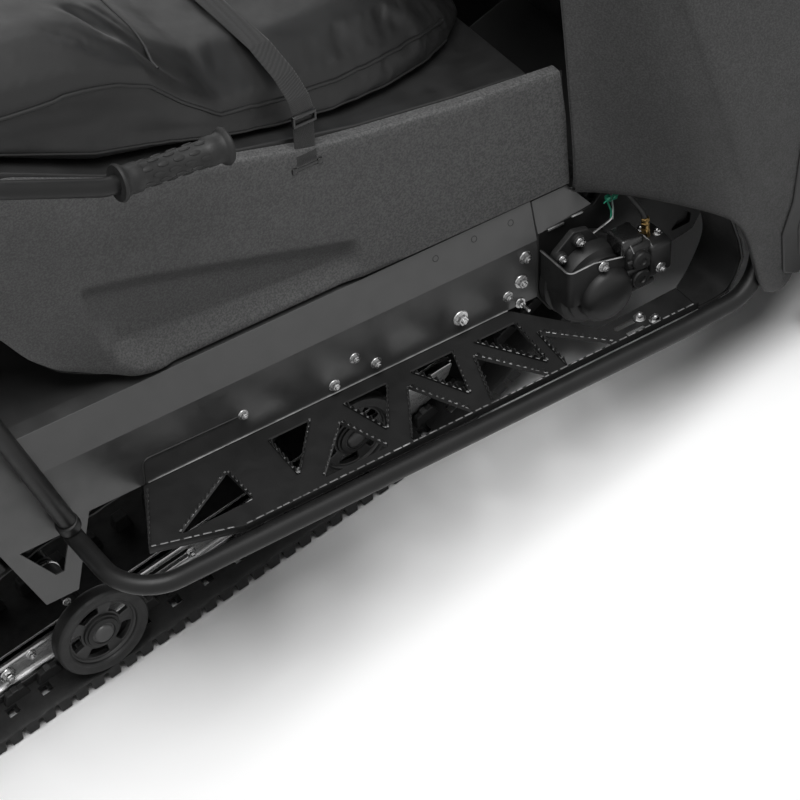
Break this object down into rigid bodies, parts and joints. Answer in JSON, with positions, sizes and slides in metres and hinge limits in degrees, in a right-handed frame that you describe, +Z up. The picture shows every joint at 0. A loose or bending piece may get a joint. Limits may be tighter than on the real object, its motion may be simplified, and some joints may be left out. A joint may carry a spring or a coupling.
{
  "type": "snowmobile",
  "caption": "Two-seat utility snowmobile with a rubber track, two steered skis, a long seat, a passenger grab rail and a rear rack.",
  "frame": {"origin": "centre of the bounding box on the ground", "axes": "+X forward, +Y to the rider's left, +Z up"},
  "size_m": [3.2, 1.13, 1.3693],
  "materials": {
    "frame_metal": "satin black powder coat",
    "tunnel_metal": "satin dark grey coat",
    "side_plastic": "grained black",
    "body_plastic": "black, lightly grained",
    "vinyl": "smooth black vinyl",
    "webbing": "woven black",
    "grip_rubber": "moulded black rubber",
    "track_rubber": "black rubber",
    "wheel_rubber": "black",
    "bare_alloy": "extruded, brushed",
    "shoe_plastic": "slick black",
    "steel_dark": "dark coated steel",
    "spring_steel": "coated coil spring",
    "cast_dark": "dark cast",
    "lamp_red": "red lens",
    "lamp_clear": "clear lens",
    "screen": "smoked clear",
    "ski_plastic": "moulded black",
    "hose_rubber": "black hose"
  },
  "bodies": {
    "chassis": {"tunnel": "tunnel_metal", "front_frame": "frame_metal", "bulkhead": "frame_metal", "engine_block": "cast_dark", "steering_bearing": "frame_metal", "running_board_right": "frame_metal", "running_board_left": "frame_metal", "side_rail_right": "frame_metal", "side_rail_left": "frame_metal", "seat_panel_right": "side_plastic", "seat_panel_left": "side_plastic", "seat": "vinyl", "seat_box": "side_plastic", "seat_strap": "webbing", "backrest": "vinyl", "grab_rail": "frame_metal", "grab_grips": "grip_rubber", "rear_rack": "frame_metal", "rear_bumper": "frame_metal", "snow_flap": "wheel_rubber", "tail_light": "lamp_red", "tow_hitch": "steel_dark", "track": "track_rubber", "track_wheels": "wheel_rubber", "slide_rails": "bare_alloy", "slide_shoes": "shoe_plastic", "skid_arms": "frame_metal", "skid_shocks": "spring_steel", "drive_axle": "steel_dark", "brake_unit": "cast_dark", "brake_hose": "hose_rubber", "a_arms_right": "frame_metal", "a_arms_left": "frame_metal", "ski_shocks": "spring_steel", "front_panel_right": "side_plastic", "front_panel_left": "side_plastic", "hood": "body_plastic", "dash_console": "body_plastic", "belly_pan": "body_plastic", "nose_grille": "body_plastic", "headlights": "lamp_clear", "windshield": "screen", "front_bumper": "frame_metal"},
    "steering": {"steering_post": "steel_dark", "handlebar": "frame_metal", "bar_grips": "grip_rubber", "levers": "steel_dark"},
    "spindle_right": {"spindle_right": "steel_dark"},
    "ski_right": {"ski_right": "ski_plastic"},
    "tie_rod_right": {"tie_rod_right": "steel_dark"},
    "spindle_left": {"spindle_left": "steel_dark"},
    "ski_left": {"ski_left": "ski_plastic"},
    "tie_rod_left": {"tie_rod_left": "steel_dark"}
  },
  "joints": [
    {"name": "steer", "type": "hinge", "parent": "chassis", "child": "steering", "pos_m": [0.47, 0, 0.54], "axis": [-0.454, 0, 0.891], "range_deg": [-30, 30]},
    {"name": "kingpin_right", "type": "hinge", "parent": "chassis", "child": "spindle_right", "pos_m": [1, -0.49, 0.105], "axis": [-0.342, 0, 0.9397], "range_deg": [-30, 30]},
    {"name": "ski_rock_right", "type": "hinge", "parent": "spindle_right", "child": "ski_right", "pos_m": [1, -0.49, 0.105], "axis": [0, 1, 0], "range_deg": [-20, 12]},
    {"name": "tie_rod_eye_right", "type": "hinge", "parent": "spindle_right", "child": "tie_rod_right", "pos_m": [0.82327, -0.49, 0.2865], "axis": [-0.342, 0, 0.9397], "range_deg": [-30, 30]},
    {"name": "kingpin_left", "type": "hinge", "parent": "chassis", "child": "spindle_left", "pos_m": [1, 0.49, 0.105], "axis": [-0.342, 0, 0.9397], "range_deg": [-30, 30]},
    {"name": "ski_rock_left", "type": "hinge", "parent": "spindle_left", "child": "ski_left", "pos_m": [1, 0.49, 0.105], "axis": [0, 1, 0], "range_deg": [-20, 12]},
    {"name": "tie_rod_eye_left", "type": "hinge", "parent": "spindle_left", "child": "tie_rod_left", "pos_m": [0.82327, 0.49, 0.2865], "axis": [-0.342, 0, 0.9397], "range_deg": [-30, 30]}
  ],
  "couplings": [
    {"joint": "kingpin_right", "follows": "steer", "ratio": 1},
    {"joint": "tie_rod_eye_right", "follows": "steer", "ratio": -1},
    {"joint": "kingpin_left", "follows": "steer", "ratio": 1},
    {"joint": "tie_rod_eye_left", "follows": "steer", "ratio": -1}
  ]
}
